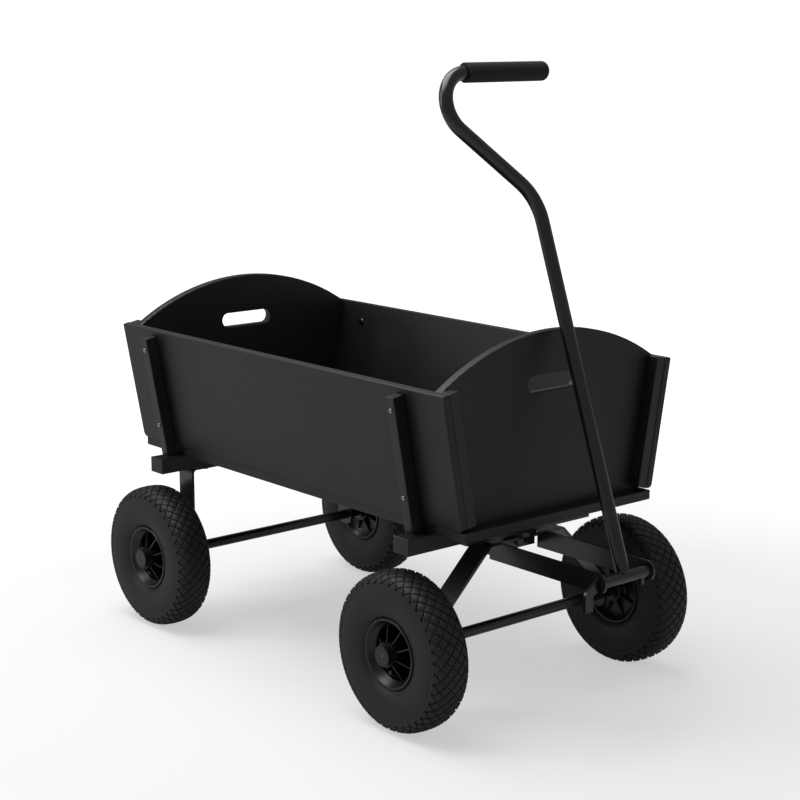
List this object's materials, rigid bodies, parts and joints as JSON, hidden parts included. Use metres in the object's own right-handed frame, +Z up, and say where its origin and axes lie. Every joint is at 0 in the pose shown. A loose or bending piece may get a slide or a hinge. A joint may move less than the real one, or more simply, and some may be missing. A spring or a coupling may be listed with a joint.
{
  "type": "beach wagon",
  "caption": "Four-wheeled pull wagon with a wooden box, arched end panels with hand slots, a pivoting front axle and a bent pull handle that folds down.",
  "frame": {"origin": "on the ground, under the middle of the wagon's whole box", "axes": "+X forward, towards the pull handle; +Y to the wagon's left; +Z up"},
  "size_m": [1.155, 0.6364, 1.1181],
  "materials": {
    "rubber": "matt vulcanised rubber",
    "moulded_plastic": "moulded satin",
    "foam_grip": "fine-grained foam",
    "painted_wood": "satin black paint on board",
    "plated_steel": "black plating, satin",
    "painted_steel": "black powder coat, satin"
  },
  "bodies": {
    "wagon_box": {"deck": "painted_wood", "front_panel": "painted_wood", "rear_panel": "painted_wood", "front_bolster": "painted_wood", "rear_bolster": "painted_wood", "rear_bracket": "painted_steel", "rear_axle": "painted_steel", "turntable_plate": "painted_steel", "kingpin": "plated_steel", "kingpin_nut": "plated_steel", "side_panel_left": "painted_wood", "side_panel_right": "painted_wood", "batten_front_left": "painted_wood", "batten_front_right": "painted_wood", "batten_rear_left": "painted_wood", "batten_rear_right": "painted_wood", "post_front_left": "painted_wood", "post_front_right": "painted_wood", "post_rear_left": "painted_wood", "post_rear_right": "painted_wood"},
    "front_carriage": {"front_bracket": "painted_steel", "thrust_washer": "painted_steel", "front_axle": "painted_steel", "fork_cross_plate": "painted_steel", "pivot_pin": "plated_steel", "pin_lever": "plated_steel", "fork_arm_left": "painted_steel", "fork_arm_right": "painted_steel"},
    "pull_handle": {"handle_tube": "painted_steel", "pivot_tube": "painted_steel", "handle_grip": "foam_grip", "handle_stop": "painted_steel"},
    "wheel_front_left": {"tyre_front_left": "rubber", "rim_front_left": "moulded_plastic", "hub_cap_front_left": "moulded_plastic"},
    "wheel_front_right": {"tyre_front_right": "rubber", "rim_front_right": "moulded_plastic", "hub_cap_front_right": "moulded_plastic"},
    "wheel_rear_left": {"tyre_rear_left": "rubber", "rim_rear_left": "moulded_plastic", "hub_cap_rear_left": "moulded_plastic"},
    "wheel_rear_right": {"tyre_rear_right": "rubber", "rim_rear_right": "moulded_plastic", "hub_cap_rear_right": "moulded_plastic"}
  },
  "joints": [
    {"name": "steering", "type": "hinge", "parent": "wagon_box", "child": "front_carriage", "pos_m": [0.3105, 0, 0.2975], "axis": [0, 0, 1], "range_deg": [-30, 30]},
    {"name": "handle_fold", "type": "hinge", "parent": "front_carriage", "child": "pull_handle", "pos_m": [0.5625, 0, 0.275], "axis": [0, 1, 0], "range_deg": [0, 125]},
    {"name": "wheel_front_left_spin", "type": "hinge", "parent": "front_carriage", "child": "wheel_front_left", "pos_m": [0.3105, 0.273, 0.14], "axis": [0, 1, 0], "continuous": true},
    {"name": "wheel_front_right_spin", "type": "hinge", "parent": "front_carriage", "child": "wheel_front_right", "pos_m": [0.3105, -0.273, 0.14], "axis": [0, 1, 0], "continuous": true},
    {"name": "wheel_rear_left_spin", "type": "hinge", "parent": "wagon_box", "child": "wheel_rear_left", "pos_m": [-0.4375, 0.273, 0.14], "axis": [0, 1, 0], "continuous": true},
    {"name": "wheel_rear_right_spin", "type": "hinge", "parent": "wagon_box", "child": "wheel_rear_right", "pos_m": [-0.4375, -0.273, 0.14], "axis": [0, 1, 0], "continuous": true}
  ]
}
